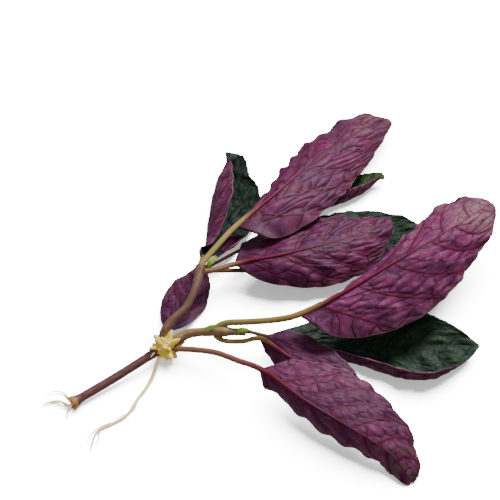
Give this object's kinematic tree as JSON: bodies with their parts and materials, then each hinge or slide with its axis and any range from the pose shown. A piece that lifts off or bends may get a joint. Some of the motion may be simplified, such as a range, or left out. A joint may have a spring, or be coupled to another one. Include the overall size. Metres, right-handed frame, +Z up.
{
  "type": "rooted cutting of a purple waffle-leaved pond plant",
  "caption": "Cut plant stem with a burst of roots at its fork and crinkled leaves, purple below and dark green above, lying loose on a surface.",
  "frame": {"origin": "middle of the cutting's outer box, on the surface it lies on", "axes": "+Z up off the surface, +Y away from the viewer of the picture, +X to the right"},
  "size_m": [0.161, 0.1698, 0.027],
  "materials": {
    "purple_leaf": "satin leaf underside, mauve with crimson veins",
    "green_leaf": "glossy dark green upper side of a leaf",
    "red_stem": "smooth dark brown-red stem",
    "olive_stem": "smooth olive stem, reddish on its lower side",
    "root_cluster": "waxy yellow root tips",
    "pale_root": "pale cream root",
    "green_bud": "bright green bud"
  },
  "bodies": {
    "root": {"lower_stem": "red_stem", "right_stem": "olive_stem", "upper_stem": "olive_stem", "root_cluster": "root_cluster", "long_root": "pale_root", "thin_root": "pale_root", "front_leaf": "purple_leaf", "right_leaf": "purple_leaf", "under_leaf": "purple_leaf", "upper_leaf": "purple_leaf", "middle_leaf": "purple_leaf", "base_leaf": "purple_leaf", "back_leaf": "purple_leaf", "small_leaf": "green_leaf", "young_leaf": "purple_leaf", "green_leaf": "green_leaf", "dark_leaf": "green_leaf", "side_bud": "green_bud", "right_bud": "green_bud", "upper_bud": "green_bud"}
  },
  "joints": []
}
